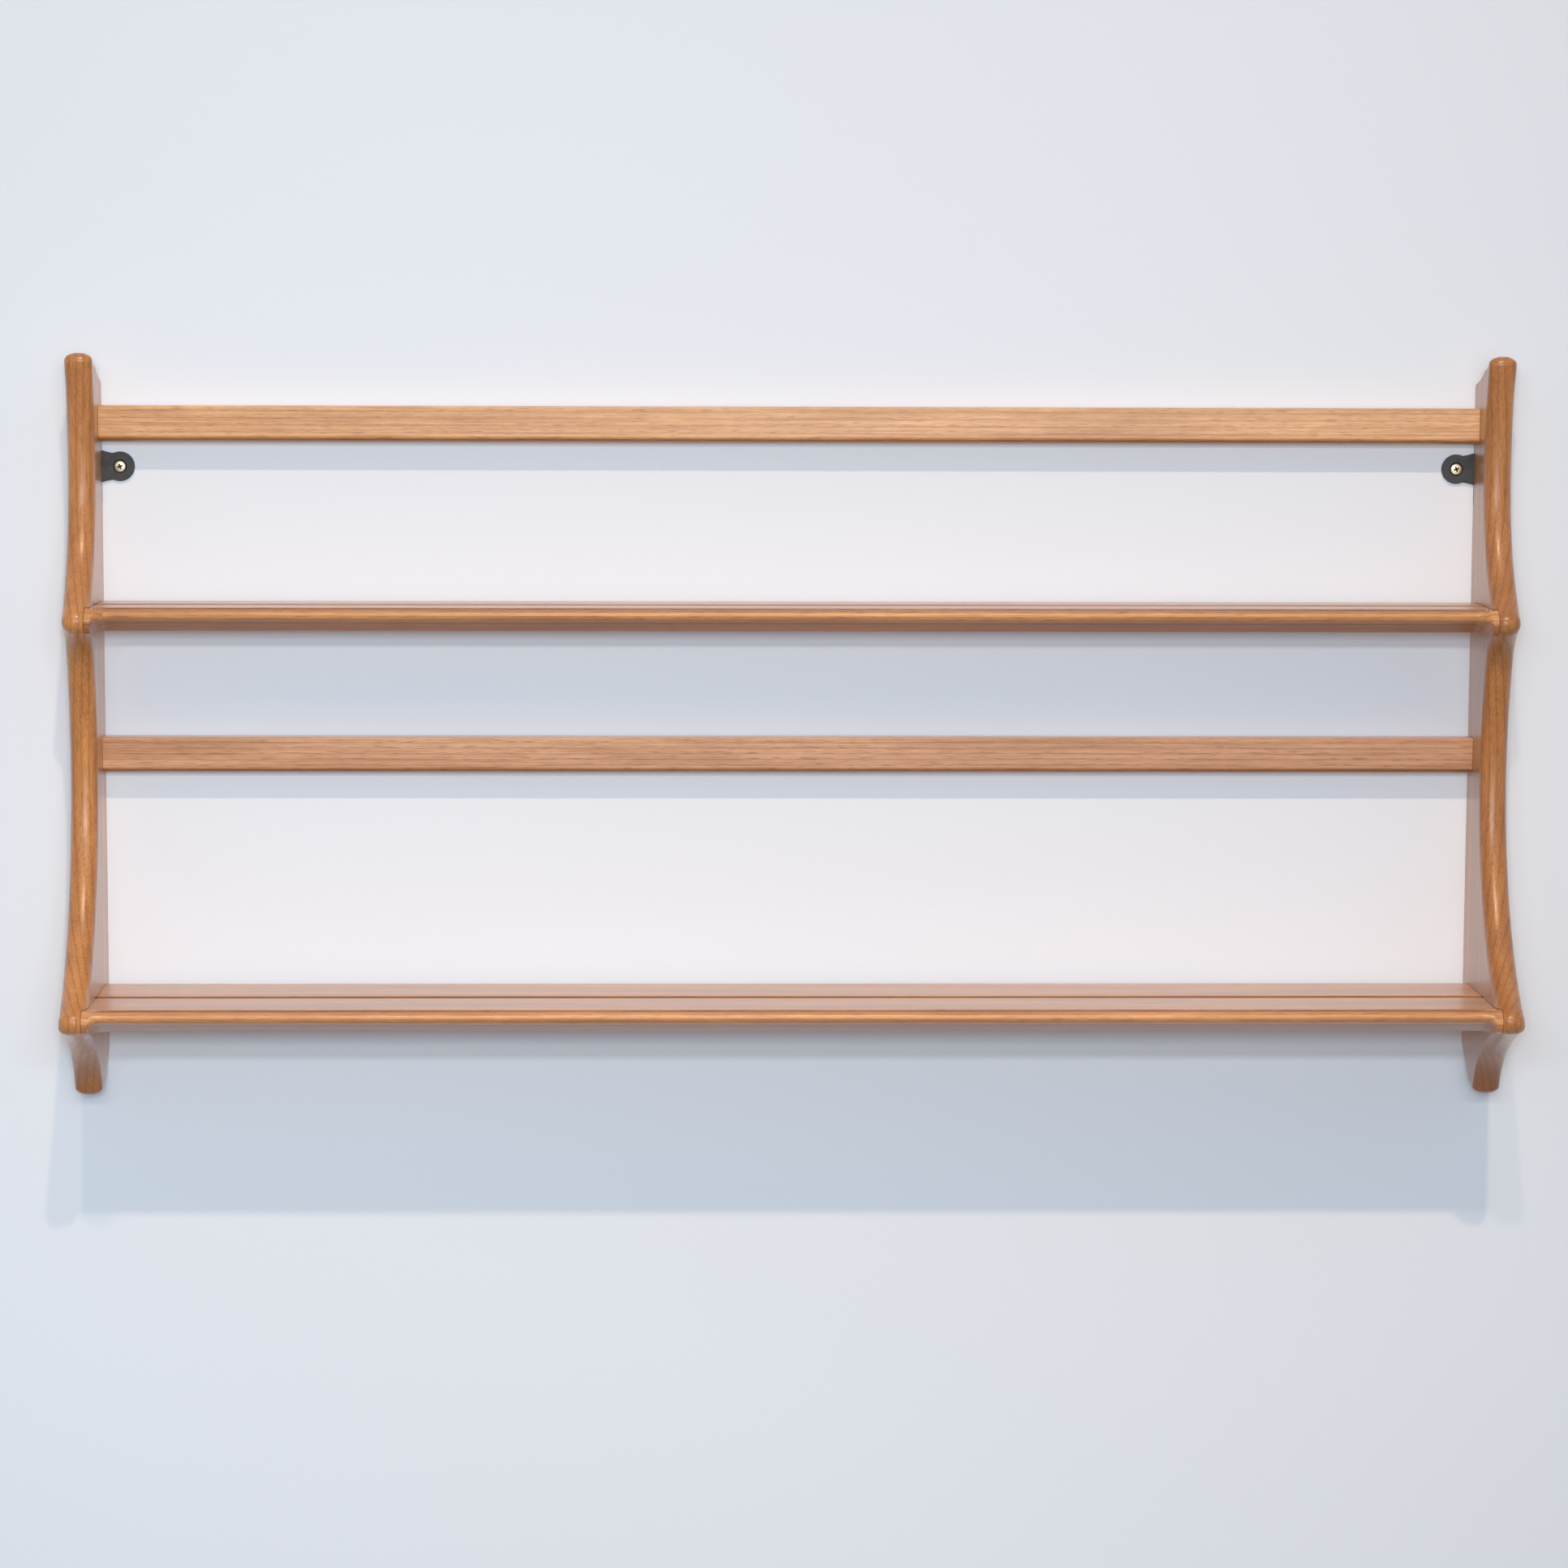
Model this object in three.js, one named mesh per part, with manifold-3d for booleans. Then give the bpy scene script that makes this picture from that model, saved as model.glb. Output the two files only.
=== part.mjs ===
// Wall plate rack: two shaped end panels, two grooved shelves and two plate rails, dowelled and glued,
// hung by two steel plates let into the backs of the panels.
// Millimetres. +X is right, +Z up, and the rack faces -Y. The wall is the plane Y = 0.
// The origin lies on the wall, midway between the two wall screws.
import * as THREE from 'three';
import { mergeVertices, toCreasedNormals } from 'three/addons/utils/BufferGeometryUtils.js';
import Module from 'manifold-3d';

const wasm = await Module();
wasm.setup();

// ---- driving dimensions ---------------------------------------------------------------------------
const RACK_WIDTH = 970;
const FIT = 0.3;                      // gap between a piece and the pocket that holds it
const HANGING_DROP = 41.7;            // the wall screws lie this far below the top of the upper rail

const PANEL_THICKNESS = 18.5;
const EDGE_RADIUS = 8.5;              // the front edge is rounded from both faces, to nearly a half round
const EDGE_FACETS = 4;                // facets across each rounded corner

const SHELF_THICKNESS = 16.5;
const SHELF_BACK = 17;                // both shelves stop short of the wall
const HOUSING_DEPTH = 3.5;             // how far a shelf end is let into a panel
const GROOVE = { halfWidth: 4.2, depth: 3, lip: 0.8 };
const NOSE = { quirkBehind: 7.5, quirkDrop: 1.2, radius: 3.7, bevelSetback: 15.5, runOut: 10.5 };

const RAIL_HEIGHT = 24;
const RAIL_THICKNESS = 15;
const RAIL_ROUND = 4.2;               // radius of a rail's lower front edge
const EASE = 1;                       // the small radius on every other long edge

// Heights are measured from the top of the upper rail, depths from the wall.
const UPPER_SHELF = { top: -131.6, nose: 86, groove: 49, dowels: [28, 63] };
const LOWER_SHELF = { top: -393.8, nose: 136.5, groove: 76, dowels: [32, 60, 105] };
const UPPER_RAIL = { top: 0, front: 21.5 };
const LOWER_RAIL = { top: -224.2, front: 20.5 };

const SHELF_DOWEL = { radius: 4, length: 28, inPanel: 9, drop: 9 };
const RAIL_DOWEL = { radius: 3, length: 26, inPanel: 10.5, spacing: 12 };

const HANGING_PLATE = { thickness: 2, halfHeight: 25, width: 14.7, screwSpacing: 30 };
const TAB = { radius: 10, reach: 12.2, neckHalf: 9.1, flareHalf: 10.8 };
const WALL_SCREW = { head: 4, shank: 2, length: 30, cross: 15, sides: 24 };
const PLATE_SCREW = { head: 3.5, shank: 1.75, length: 18, cross: 40, sides: 16 };

// ---- derived places -------------------------------------------------------------------------------
const HALF_WIDTH = RACK_WIDTH / 2;
const INNER_FACE = HALF_WIDTH - PANEL_THICKNESS;
const PANEL_MIDDLE = HALF_WIDTH - PANEL_THICKNESS / 2;
const HOUSING_FLOOR = INNER_FACE + HOUSING_DEPTH;
const WALL_SCREW_X = INNER_FACE - TAB.reach;

// ---- materials ------------------------------------------------------------------------------------
const material = (color, roughness, metalness = 0) =>
  new THREE.MeshStandardMaterial({ color, roughness, metalness });
const PANEL_ELM = material(0xb9783f, 0.3);
const SHELF_ELM = material(0xb07245, 0.3);
const RAIL_ELM = material(0xc68b58, 0.3);
const BEECH = material(0xd9b98c, 0.7);
const BLACK_STEEL = material(0x2b2b2e, 0.45, 0.6);
const PLATED_STEEL = material(0xdcd6b4, 0.3, 0.9);

// ---- solids ---------------------------------------------------------------------------------------
const radians = THREE.MathUtils.degToRad;
const at = (depth, height) => new THREE.Vector2(depth, height);

// A point of the rack at x, from a depth and a height.
const place = (x, p) => [x, -p.x, p.y + HANGING_DROP];

function toSolid(geometry) {
  const bare = new THREE.BufferGeometry();
  bare.setAttribute('position', geometry.attributes.position.clone());
  if (geometry.index) bare.setIndex(geometry.index.clone());
  const welded = mergeVertices(bare, 1e-4);
  return new wasm.Manifold(new wasm.Mesh({
    numProp: 3,
    vertProperties: new Float32Array(welded.attributes.position.array),
    triVerts: new Uint32Array(welded.index.array),
  }));
}

function toGeometry(solid) {
  const mesh = solid.getMesh();
  const geometry = new THREE.BufferGeometry();
  geometry.setAttribute('position', new THREE.BufferAttribute(new Float32Array(mesh.vertProperties), 3));
  geometry.setIndex(new THREE.BufferAttribute(new Uint32Array(mesh.triVerts), 1));
  return toCreasedNormals(geometry, radians(30));
}

// What is left of a geometry once the cutters are taken out of it.
function carve(geometry, cutters = []) {
  let solid = toSolid(geometry);
  for (const cutter of cutters) {
    solid = solid.subtract(toSolid(cutter));
  }
  return toGeometry(solid);
}

// A skin through rings of equally many points, closed by a flat cap at each end. `flatten` lays a ring
// point in the plane of the caps.
function loft(rings, flatten) {
  const count = rings[0].length;
  const last = (rings.length - 1) * count;
  const index = [];
  for (let r = 0; r < last; r += count) {
    for (let i = 0; i < count; i++) {
      const j = (i + 1) % count;
      index.push(r + i, r + j, r + count + j, r + i, r + count + j, r + count + i);
    }
  }
  const outline = rings[0].map(flatten);
  const clockwise = THREE.ShapeUtils.isClockWise(outline);
  for (const [a, b, c] of THREE.ShapeUtils.triangulateShape(outline, [])) {
    if (clockwise) index.push(a, b, c, last + a, last + c, last + b);
    else index.push(a, c, b, last + a, last + b, last + c);
  }
  const geometry = new THREE.BufferGeometry();
  geometry.setAttribute('position', new THREE.Float32BufferAttribute(rings.flat(2), 3));
  geometry.setIndex(index);
  if (toSolid(geometry).volume() < 0) geometry.setIndex(index.reverse());
  return geometry;
}

const alongX = ([, y, z]) => at(y, z);
const alongY = ([x, , z]) => at(x, z);

const box = (x0, x1, y0, y1, z0, z1) =>
  new THREE.BoxGeometry(Math.abs(x1 - x0), y1 - y0, z1 - z0)
    .translate((x0 + x1) / 2, (y0 + y1) / 2, (z0 + z1) / 2);

// A round bore along X about the point (depth, height), between two places on X.
function boreX(radius, x0, x1, depth, height) {
  const middle = place((x0 + x1) / 2, at(depth, height));
  return new THREE.CylinderGeometry(radius, radius, Math.abs(x1 - x0), 16)
    .rotateZ(Math.PI / 2)
    .translate(...middle);
}

// A round or tapered bore along Y, from radius `front` at depth d1 to radius `back` at depth d0.
function boreY(front, back, x, z, d0, d1, sides = 12) {
  return new THREE.CylinderGeometry(back, front, d1 - d0, sides).translate(x, -(d0 + d1) / 2, z);
}

// ---- end panel profile ----------------------------------------------------------------------------
// The front runs down from the top horn, swells into two brows that carry the shelf noses, and ends
// in the bottom horn. Each horn and brow is an arc, and its neighbours leave it along its tangents.
const UPPER_BROW = { centre: at(84.8, -140.6), radius: 9, from: 49, to: -60 };
const LOWER_BROW = { centre: at(131.6, -401.8), radius: 8.6, from: 59, to: -75 };
const TOP_HORN = { centre: at(50.4, 30.4), radius: 5.5, from: 143, to: -11 };
const BOTTOM_HORN = { centre: at(45, -460), radius: 5.2, from: -21, to: -131.8 };

// The point of a horn or brow at an angle, moved along its tangent by `lead` (onwards is positive).
function arcPoint({ centre, radius }, degrees, lead = 0) {
  const outward = at(Math.cos(radians(degrees)), Math.sin(radians(degrees)));
  const down = at(outward.y, -outward.x);
  return centre.clone().addScaledVector(outward, radius).addScaledVector(down, lead);
}

class Tip extends THREE.Curve {
  constructor(tip) {
    super();
    this.tip = tip;
  }

  getPoint(t) {
    return arcPoint(this.tip, THREE.MathUtils.lerp(this.tip.from, this.tip.to, t));
  }
}

const cubic = (...handles) => new THREE.CubicBezierCurve(...handles);
const start = (tip, lead = 0) => arcPoint(tip, tip.from, lead);
const end = (tip, lead = 0) => arcPoint(tip, tip.to, lead);

const UPPER_WAIST = at(47, -42);
const SCOTIA = at(68.3, -170);        // the short hollow under the upper brow ends here
const LOWER_WAIST = at(54.2, -245);

// Each stretch of the front with its number of steps.
const FRONT = [
  [new Tip(TOP_HORN), 6],
  [cubic(end(TOP_HORN), end(TOP_HORN, 20), at(47, -15), UPPER_WAIST), 8],
  [cubic(UPPER_WAIST, at(47, -80), start(UPPER_BROW, -37), start(UPPER_BROW)), 11],
  [new Tip(UPPER_BROW), 8],
  [cubic(end(UPPER_BROW), end(UPPER_BROW, 10), at(72, -158.5), SCOTIA), 6],
  [cubic(SCOTIA, at(63.2, -186), at(54.2, -214), LOWER_WAIST), 8],
  [cubic(LOWER_WAIST, at(54.2, -300), start(LOWER_BROW, -62), start(LOWER_BROW)), 14],
  [new Tip(LOWER_BROW), 9],
  [cubic(end(LOWER_BROW), end(LOWER_BROW, 24), at(60.5, -434.5), start(BOTTOM_HORN)), 12],
  [new Tip(BOTTOM_HORN), 5],
];

// The back edge, from the bottom horn to the wall, up the wall and forward to the top horn.
const BACK = [
  [cubic(end(BOTTOM_HORN), end(BOTTOM_HORN, 10), at(16, -446.5), at(3, -437.5)), 5],
  [new THREE.LineCurve(at(3, -437.5), at(0, -433)), 1],
  [new THREE.LineCurve(at(0, -433), at(0, 13.5)), 1],
  [new THREE.LineCurve(at(0, 13.5), at(2.5, 16)), 1],
  [cubic(at(2.5, 16), at(20, 18.5), start(TOP_HORN, -10), start(TOP_HORN)), 5],
];

// The rounding of the front edge is full from below the top horn to the lower brow. It is slighter on
// the horns and the tail, and runs out over each horn, so the top, bottom and back edges are square.
const TOP_ROUNDING = 0.6;
const TAIL_ROUNDING = 0.55;
const EASING_LENGTH = 24;

function sampleRounding(stretch, t, travelled) {
  const { lerp, smoothstep } = THREE.MathUtils;
  const last = FRONT.length - 1;
  if (stretch === 0) return TOP_ROUNDING * smoothstep(t, 0, 0.35);
  if (stretch === last) return TAIL_ROUNDING * smoothstep(1 - t, 0, 0.35);
  if (stretch === last - 1) return TAIL_ROUNDING;
  if (stretch === last - 2) return lerp(1, TAIL_ROUNDING, smoothstep(t, 0.45, 1));
  return lerp(TOP_ROUNDING, 1, smoothstep(travelled, 0, EASING_LENGTH));
}

function sampleFront() {
  const points = [];
  let travelled = 0;                  // since the top horn
  FRONT.forEach(([curve, steps], stretch) => {
    for (let i = stretch === 0 ? 0 : 1; i <= steps; i++) {
      const t = i / steps;
      const p = curve.getPoint(t);
      const tangent = curve.getTangent(t);
      if (stretch > 0) travelled += p.distanceTo(points[points.length - 1].p);
      const rounding = sampleRounding(stretch, t, travelled);
      points.push({ p, outward: at(-tangent.y, tangent.x), rounding });
    }
  });
  return points;
}

function sampleBack() {
  const points = [];
  for (const [curve, steps] of BACK) {
    for (let i = 1; i <= steps; i++) points.push(curve.getPoint(i / steps));
  }
  return points.slice(0, -1);
}

const FRONT_POINTS = sampleFront();
const BACK_POINTS = sampleBack();

// How far the rounding has cut back the front edge, at a distance in from a panel's face.
function roundingDrop(inside) {
  const across = Math.max(EDGE_RADIUS - inside, 0);
  return EDGE_RADIUS - Math.sqrt(EDGE_RADIUS ** 2 - across ** 2);
}

const frontLine = (drop) =>
  FRONT_POINTS.map(({ p, outward, rounding }) => p.clone().addScaledVector(outward, -drop * rounding));

// ---- end panels -----------------------------------------------------------------------------------
function panelBlank(side) {
  const rings = [];
  for (const face of [-1, 1]) {
    for (let i = 0; i <= EDGE_FACETS; i++) {
      const turn = ((face < 0 ? EDGE_FACETS - i : i) / EDGE_FACETS) * (Math.PI / 2);
      const inside = EDGE_RADIUS * (1 - Math.sin(turn));
      const x = PANEL_MIDDLE + face * (PANEL_THICKNESS / 2 - inside);
      const line = [...frontLine(roundingDrop(inside)), ...BACK_POINTS];
      rings.push(line.map((p) => place(side * x, p)));
    }
  }
  return loft(rings, alongX);
}

function housing(side, shelf) {
  const top = shelf.top + HANGING_DROP;
  const x = [side * (INNER_FACE - 1), side * HOUSING_FLOOR];
  return box(...x, -LOWER_SHELF.nose - 20, -SHELF_BACK + FIT, top - SHELF_THICKNESS - FIT, top + FIT);
}

function plateRecess(side) {
  const height = HANGING_PLATE.halfHeight + FIT;
  const x = [side * (INNER_FACE - 1), side * (INNER_FACE + HANGING_PLATE.width + FIT)];
  return box(...x, -HANGING_PLATE.thickness - FIT, 1, -height, height);
}

const plateScrewPlaces = [1, -1].map((end) => (end * HANGING_PLATE.screwSpacing) / 2);
const plateScrewX = INNER_FACE + HANGING_PLATE.width / 2 + 1;

function endPanel(side) {
  const bores = dowelPlaces.map(({ dowel, root, depth, height }) =>
    boreX(dowel.radius + FIT, side * (root - 1), side * (root + dowel.inPanel + FIT), depth, height));
  const pilot = PLATE_SCREW.shank + FIT;
  const pilots = plateScrewPlaces.map((z) =>
    boreY(pilot, pilot, side * plateScrewX, z, 1, PLATE_SCREW.length + 1));
  return carve(panelBlank(side), [
    housing(side, UPPER_SHELF),
    housing(side, LOWER_SHELF),
    plateRecess(side),
    ...bores,
    ...pilots,
  ]);
}

// ---- shelves --------------------------------------------------------------------------------------
function arc(cx, cy, radius, from, to, steps) {
  return Array.from({ length: steps + 1 }, (_, i) => {
    const a = radians(THREE.MathUtils.lerp(from, to, i / steps));
    return at(cx + radius * Math.cos(a), cy + radius * Math.sin(a));
  });
}

// The plate groove: a cove with a softened lip on each side.
function groovePoints(centre) {
  const { halfWidth, depth, lip } = GROOVE;
  const radius = (halfWidth ** 2 + depth ** 2) / (2 * depth);
  const span = (Math.asin(halfWidth / radius) * 180) / Math.PI;
  const floor = arc(centre, radius - depth, radius, -90 - span, -90 + span, 8);
  const soften = (p, side) => [at(p.x + side * lip, 0), at(p.x + side * lip * 0.2, -lip * 0.3)];
  const [back, front] = [soften(floor[0], -1), soften(floor[8], 1)];
  return [...back, ...floor.slice(1, -1), front[1], front[0]];
}

// The nose of a shelf away from its ends: a quirk, a round bead, and a bevel underneath.
function mouldedNose(nose) {
  const quirk = nose - NOSE.quirkBehind;
  const bead = nose - NOSE.radius;
  return [
    at(quirk, 0),
    at(quirk, -NOSE.quirkDrop),
    ...arc(bead, -NOSE.quirkDrop - NOSE.radius, NOSE.radius, 90, -90, 8),
    at(bead - NOSE.bevelSetback, -SHELF_THICKNESS),
  ];
}

// The nose where it meets a panel: full thickness, and following the panel's rounded front.
function squareNose(shelf) {
  const line = frontLine(roundingDrop(HOUSING_DEPTH));
  const onFront = (drop) => {
    const height = shelf.top - drop;
    const i = line.findIndex((p, k) => k > 0 && p.y <= height && line[k - 1].y > height);
    const [a, b] = [line[i - 1], line[i]];
    return at(THREE.MathUtils.mapLinear(height, a.y, b.y, a.x, b.x), -drop);
  };
  const quirk = shelf.nose - NOSE.quirkBehind;
  const steps = 9;
  const front = Array.from({ length: steps + 1 }, (_, i) => onFront((SHELF_THICKNESS * i) / steps));
  return [at(quirk, 0), at(quirk + 0.6, 0), ...front];
}

function shelfBlank(shelf) {
  const body = [...arc(SHELF_BACK + EASE, -EASE, EASE, 180, 90, 2), ...groovePoints(shelf.groove)];
  const heel = arc(SHELF_BACK + EASE, EASE - SHELF_THICKNESS, EASE, 270, 180, 2);
  const [moulded, square] = [mouldedNose(shelf.nose), squareNose(shelf)];
  const ring = (x, across, drop) => {
    const nose = square.map((p, i) =>
      at(THREE.MathUtils.lerp(p.x, moulded[i].x, across), THREE.MathUtils.lerp(p.y, moulded[i].y, drop)));
    return [...body, ...nose, ...heel].map((p) => place(x, at(p.x, p.y + shelf.top)));
  };
  const runOutEnd = INNER_FACE - 0.5;
  const stations = [[HOUSING_FLOOR - FIT, 0, 0]];
  for (const share of [0, 0.08, 0.2, 0.4, 0.65, 1]) {
    stations.push([runOutEnd - NOSE.runOut * share, Math.sin((share * Math.PI) / 2), 1 - (1 - share) ** 7]);
  }
  const left = stations.map(([x, ...weights]) => ring(-x, ...weights));
  const right = stations.map(([x, ...weights]) => ring(x, ...weights)).reverse();
  return loft([...left, ...right], alongX);
}

function shelfBoard(shelf) {
  const bores = [-1, 1].flatMap((side) => shelf.dowels.map((depth) => {
    const { radius, length, inPanel, drop } = SHELF_DOWEL;
    const bottom = HOUSING_FLOOR - (length - inPanel) - FIT;
    return boreX(radius + FIT, side * (HOUSING_FLOOR + 1), side * bottom, depth, shelf.top - drop);
  }));
  return carve(shelfBlank(shelf), bores);
}

// ---- rails ----------------------------------------------------------------------------------------
const railDepth = (rail) => rail.front - RAIL_THICKNESS / 2;
const railDowelHeights = (rail) =>
  [1, -1].map((end) => rail.top - RAIL_HEIGHT / 2 + (end * RAIL_DOWEL.spacing) / 2);

function railBar(rail) {
  const back = rail.front - RAIL_THICKNESS;
  const bottom = rail.top - RAIL_HEIGHT;
  const section = [
    ...arc(back + EASE, rail.top - EASE, EASE, 180, 90, 2),
    ...arc(rail.front - EASE, rail.top - EASE, EASE, 90, 0, 2),
    ...arc(rail.front - RAIL_ROUND, bottom + RAIL_ROUND, RAIL_ROUND, 0, -90, 6),
    ...arc(back + EASE, bottom + EASE, EASE, 270, 180, 2),
  ];
  const rings = [-1, 1].map((side) => section.map((p) => place(side * (INNER_FACE - FIT / 3), p)));
  const bores = [-1, 1].flatMap((side) => railDowelHeights(rail).map((height) => {
    const { radius, length, inPanel } = RAIL_DOWEL;
    const bottom = INNER_FACE - (length - inPanel) - FIT;
    return boreX(radius + FIT, side * (INNER_FACE + 1), side * bottom, railDepth(rail), height);
  }));
  return carve(loft(rings, alongX), bores);
}

// ---- dowels ---------------------------------------------------------------------------------------
// `root` is where on X the dowel enters the panel's wood.
const dowelPlaces = [
  ...Object.entries({ upper_shelf: UPPER_SHELF, lower_shelf: LOWER_SHELF }).flatMap(([name, shelf]) =>
    shelf.dowels.map((depth) => (
      { name, dowel: SHELF_DOWEL, root: HOUSING_FLOOR, depth, height: shelf.top - SHELF_DOWEL.drop }))),
  ...Object.entries({ upper_rail: UPPER_RAIL, lower_rail: LOWER_RAIL }).flatMap(([name, rail]) =>
    railDowelHeights(rail).map((height) => (
      { name, dowel: RAIL_DOWEL, root: INNER_FACE, depth: railDepth(rail), height }))),
];

// A fluted dowel with chamfered ends.
function flutedDowel(side, { dowel, root, depth, height }) {
  const { radius, length, inPanel } = dowel;
  const chamfer = 1;
  const inner = root + inPanel - length;
  const ring = (x, scale) => Array.from({ length: 16 }, (_, i) => {
    const a = (i / 16) * 2 * Math.PI;
    const r = scale * (i % 2 === 0 ? radius : 0.9 * radius);
    return place(side * x, at(depth + r * Math.cos(a), height + r * Math.sin(a)));
  });
  const stations = [[inner, 0.8], [inner + chamfer, 1], [inner + length - chamfer, 1], [inner + length, 0.8]];
  return loft(stations.map(([x, scale]) => ring(x, scale)), alongX);
}

// ---- hanging plates and screws --------------------------------------------------------------------
// A bar behind the panel, and a round tab that reaches out over the wall screw.
function hangingPlate(side) {
  const { thickness, halfHeight, width } = HANGING_PLATE;
  const turn = Math.asin(TAB.neckHalf / TAB.radius);
  const outline = new THREE.Shape();
  outline.absarc(0, 0, TAB.radius, turn, 2 * Math.PI - turn, false);
  outline.quadraticCurveTo(TAB.reach * 0.6, -TAB.neckHalf, TAB.reach, -TAB.flareHalf);
  outline.lineTo(TAB.reach, -halfHeight);
  outline.lineTo(TAB.reach + width, -halfHeight);
  outline.lineTo(TAB.reach + width, halfHeight);
  outline.lineTo(TAB.reach, halfHeight);
  outline.lineTo(TAB.reach, TAB.flareHalf);
  outline.quadraticCurveTo(TAB.reach * 0.6, TAB.neckHalf, TAB.radius * Math.cos(turn), TAB.neckHalf);
  const points = outline.getPoints(9);
  const rings = [0, thickness].map((depth) => points.map((p) => [side * (WALL_SCREW_X + p.x), -depth, p.y]));
  const mouth = WALL_SCREW.head + 0.65;
  const wallHole = boreY(mouth, mouth - thickness, side * WALL_SCREW_X, 0, 0, thickness, 24);
  const screwHoles = plateScrewPlaces.map((z) =>
    boreY(PLATE_SCREW.head - 1.55, PLATE_SCREW.head + 0.45, side * plateScrewX, z, 0, thickness, 16));
  return carve(loft(rings, alongY), [wallHole, ...screwHoles]);
}

// A countersunk screw whose head faces `facing` along Y, with a cross recess.
function countersunkScrew({ head, shank, length, cross, sides }, x, z, seat, facing) {
  const ring = (along, radius) => Array.from({ length: sides }, (_, i) => {
    const a = (i / sides) * 2 * Math.PI;
    return [x + radius * Math.cos(a), seat - facing * along, z + radius * Math.sin(a)];
  });
  const rim = 0.15;
  const blank = loft([
    ring(0, head - 0.1),
    ring(rim, head),
    ring(head - shank + rim, shank),
    ring(length - 2.5 * shank, shank),
    ring(length, 0.15 * shank),
  ], alongY);
  const slots = [0, 90].map((turn) => new THREE.CylinderGeometry(head * 0.6, head * 0.2, head * 0.42, 4, 1)
    .rotateY(Math.PI / 4)
    .scale(1, 1, 0.24)
    .rotateX(facing < 0 ? Math.PI : 0)
    .rotateY(radians(turn + cross))
    .translate(x, seat - facing * head * 0.2, z));
  return carve(blank, slots);
}

// ---- assembly -------------------------------------------------------------------------------------
const rack = new THREE.Group();
rack.name = 'wall_plate_rack';

function add(name, geometry, finish) {
  const mesh = new THREE.Mesh(geometry, finish);
  mesh.name = name;
  rack.add(mesh);
}

for (const [hand, side] of [['left', -1], ['right', 1]]) {
  add(`${hand}_end_panel`, endPanel(side), PANEL_ELM);
  add(`${hand}_hanging_plate`, hangingPlate(side), BLACK_STEEL);
  add(`${hand}_wall_screw`, countersunkScrew(WALL_SCREW, side * WALL_SCREW_X, 0, -1.77, -1), PLATED_STEEL);
  plateScrewPlaces.forEach((z, i) => {
    const name = `${hand}_plate_screw_${i === 0 ? 'top' : 'bottom'}`;
    add(name, countersunkScrew(PLATE_SCREW, side * plateScrewX, z, -0.05, 1), PLATED_STEEL);
  });
  dowelPlaces.forEach((placing, i) => {
    const number = dowelPlaces.slice(0, i + 1).filter(({ name }) => name === placing.name).length;
    add(`${placing.name}_dowel_${hand}_${number}`, carve(flutedDowel(side, placing)), BEECH);
  });
}
add('upper_shelf', shelfBoard(UPPER_SHELF), SHELF_ELM);
add('lower_shelf', shelfBoard(LOWER_SHELF), SHELF_ELM);
add('upper_rail', railBar(UPPER_RAIL), RAIL_ELM);
add('lower_rail', railBar(LOWER_RAIL), RAIL_ELM);

export default rack;
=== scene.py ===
import math

import bmesh
import bpy
from mathutils import Matrix, Vector
from mathutils.geometry import interpolate_bezier


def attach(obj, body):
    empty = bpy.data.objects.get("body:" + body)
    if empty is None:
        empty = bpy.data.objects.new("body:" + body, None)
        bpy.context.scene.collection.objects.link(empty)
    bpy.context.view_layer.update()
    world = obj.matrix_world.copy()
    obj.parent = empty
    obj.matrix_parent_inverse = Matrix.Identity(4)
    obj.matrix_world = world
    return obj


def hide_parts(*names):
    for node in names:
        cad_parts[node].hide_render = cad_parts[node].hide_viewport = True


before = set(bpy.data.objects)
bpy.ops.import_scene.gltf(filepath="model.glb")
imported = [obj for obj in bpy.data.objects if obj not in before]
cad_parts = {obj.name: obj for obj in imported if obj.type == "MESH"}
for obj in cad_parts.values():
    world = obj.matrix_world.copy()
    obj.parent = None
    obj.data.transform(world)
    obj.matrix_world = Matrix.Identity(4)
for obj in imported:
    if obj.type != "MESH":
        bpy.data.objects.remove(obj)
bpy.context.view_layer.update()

scene = bpy.context.scene
scene.view_settings.view_transform = "Standard"

# ---- Camera ---------------------------------------------------------------------------------------
# It stands a little left of the middle and looks slightly down, 3.2 m from the wall, as the
# photograph does. The frame is 1932 x 1932 pixels.
PHOTO_PIXELS = 1932
focal_pixels = 5788.4
axis_pixel = Vector((930.5, 997.2))
yaw, pitch, roll = 0.0245, 0.1191, -0.0033

forward = Vector((math.sin(yaw) * math.cos(pitch), math.cos(yaw) * math.cos(pitch), -math.sin(pitch)))
level = Vector((math.cos(yaw), -math.sin(yaw), 0))
down = forward.cross(level)
right = math.cos(roll) * level + math.sin(roll) * down
up = math.sin(roll) * level - math.cos(roll) * down

lens = bpy.data.cameras.new("camera")
lens.sensor_fit = "HORIZONTAL"
lens.sensor_width = 36
lens.lens = lens.sensor_width * focal_pixels / PHOTO_PIXELS
lens.shift_x = 0.5 - axis_pixel.x / PHOTO_PIXELS
lens.shift_y = axis_pixel.y / PHOTO_PIXELS - 0.5
camera = bpy.data.objects.new("camera", lens)
scene.collection.objects.link(camera)
stands_at = Matrix.Translation((-0.1015, -3.198, 0.1488))
camera.matrix_world = stands_at @ Matrix((right, up, -forward)).transposed().to_4x4()
scene.camera = camera

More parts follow.
